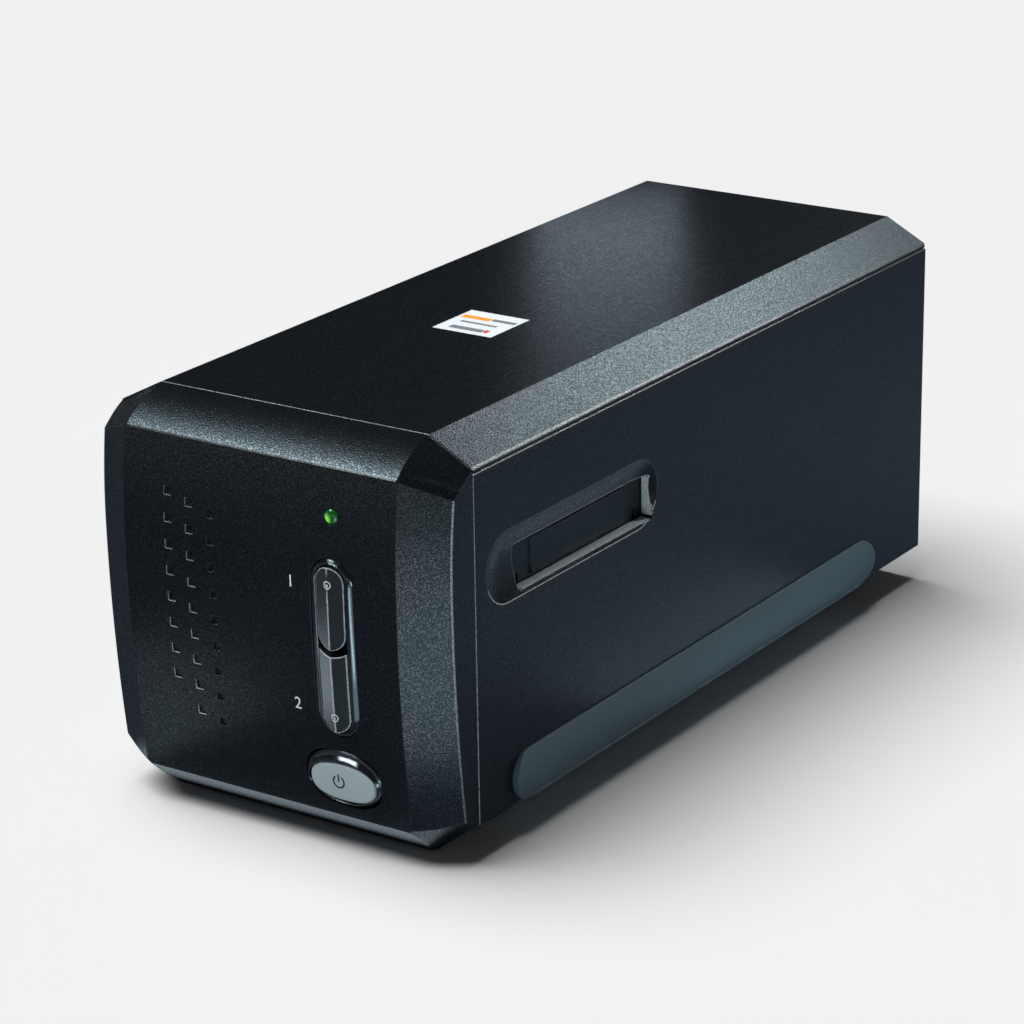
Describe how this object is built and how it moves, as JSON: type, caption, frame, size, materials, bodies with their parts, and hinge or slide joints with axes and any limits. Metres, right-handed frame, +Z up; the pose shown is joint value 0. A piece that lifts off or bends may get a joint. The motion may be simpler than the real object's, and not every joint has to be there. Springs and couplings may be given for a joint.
{
  "type": "film negative scanner",
  "caption": "Desktop scanner for film strips and slides: a long box with a film tunnel across it, hinged dust doors, front scan keys and a moving optics carriage.",
  "frame": {"origin": "middle of the overall box, on the table plane the feet stand on", "axes": "+X to the scanner's right as its front is looked at, +Y from the front to the back, +Z up"},
  "size_m": [0.12, 0.272, 0.119],
  "materials": {
    "housing_black": "fine spark-eroded grain",
    "strip_rubber": "satin",
    "door_plastic": "satin",
    "gloss_black": "polished",
    "key_grey": "satin paint",
    "button_silver": "satin paint",
    "lens_green": "translucent",
    "label_paper": "smooth",
    "steel": "ground",
    "socket_steel": "tinned sheet",
    "circuit_board": "solder mask",
    "inner_black": "moulded",
    "chassis_plastic": "moulded",
    "lamp_white": "moulded",
    "bronze": "machined",
    "mirror_glass": "front-silvered",
    "lens_metal": "black anodised",
    "gear_plastic": "moulded acetal",
    "sheet_steel": "zinc plated",
    "motor_steel": "drawn steel"
  },
  "bodies": {
    "housing": {"front_bezel": "housing_black", "top_cover": "housing_black", "lower_case": "housing_black", "rear_panel": "housing_black", "strip_right": "strip_rubber", "strip_left": "strip_rubber", "door_pins": "steel", "key_surround": "gloss_black", "power_ring": "gloss_black", "led_lens": "lens_green", "top_label": "label_paper", "button_board": "circuit_board", "touch_switches": "inner_black", "status_led": "lens_green", "dc_jack": "inner_black", "usb_socket": "socket_steel", "main_board": "circuit_board", "board_parts": "inner_black", "chassis": "chassis_plastic", "film_guide": "inner_black", "film_rails": "inner_black", "film_roof": "inner_black", "lamp_housing": "inner_black", "lamp_board": "lamp_white", "diffuser": "lamp_white", "guide_rods": "steel", "screw_bushings": "bronze", "motor_bracket": "sheet_steel", "drive_motor": "motor_steel", "case_screws": "steel"},
    "door_right": {"door_right": "door_plastic"},
    "door_left": {"door_left": "door_plastic"},
    "scan_key_upper": {"scan_key_upper": "key_grey"},
    "scan_key_lower": {"scan_key_lower": "key_grey"},
    "power_button": {"power_button": "button_silver"},
    "carriage": {"carriage": "chassis_plastic", "fold_mirror": "mirror_glass", "lens_barrel": "lens_metal", "sensor_board": "circuit_board", "line_sensor": "inner_black", "drive_nut": "gear_plastic"},
    "lead_screw": {"lead_screw": "steel", "screw_gear": "gear_plastic"},
    "motor_rotor": {"motor_shaft": "steel", "motor_pinion": "bronze"}
  },
  "joints": [
    {"name": "door_right_hinge", "type": "hinge", "parent": "housing", "child": "door_right", "pos_m": [0.0525, 0, 0.0852], "axis": [0, 1, 0], "range_deg": [0, 85], "stiffness_Nm_per_rad": 0.003, "springref_deg": -5.73},
    {"name": "door_left_hinge", "type": "hinge", "parent": "housing", "child": "door_left", "pos_m": [-0.0525, 0, 0.0832], "axis": [0, 1, 0], "range_deg": [0, 75], "stiffness_Nm_per_rad": 0.003, "springref_deg": -5.73},
    {"name": "scan_key_upper_press", "type": "slide", "parent": "housing", "child": "scan_key_upper", "axis": [0, 1, 0], "range_m": [0, 0.0008], "stiffness_N_per_m": 300, "springref_m": -0.001},
    {"name": "scan_key_lower_press", "type": "slide", "parent": "housing", "child": "scan_key_lower", "axis": [0, 1, 0], "range_m": [0, 0.0008], "stiffness_N_per_m": 300, "springref_m": -0.001},
    {"name": "power_button_press", "type": "slide", "parent": "housing", "child": "power_button", "axis": [0, 1, 0], "range_m": [0, 0.0012], "stiffness_N_per_m": 300, "springref_m": -0.001},
    {"name": "carriage_slide", "type": "slide", "parent": "housing", "child": "carriage", "axis": [0, 1, 0], "range_m": [0, 0.026]},
    {"name": "lead_screw_spin", "type": "hinge", "parent": "housing", "child": "lead_screw", "pos_m": [0, 0, 0.022], "axis": [0, 1, 0], "range_deg": [0, 2341]},
    {"name": "motor_spin", "type": "hinge", "parent": "housing", "child": "motor_rotor", "pos_m": [0, 0, 0.0412], "axis": [0, 1, 0], "range_deg": [-7021, 0]}
  ],
  "couplings": [
    {"joint": "lead_screw_spin", "follows": "carriage_slide", "rad_per_m": 1570.8},
    {"joint": "motor_spin", "follows": "carriage_slide", "rad_per_m": -4712.4}
  ]
}
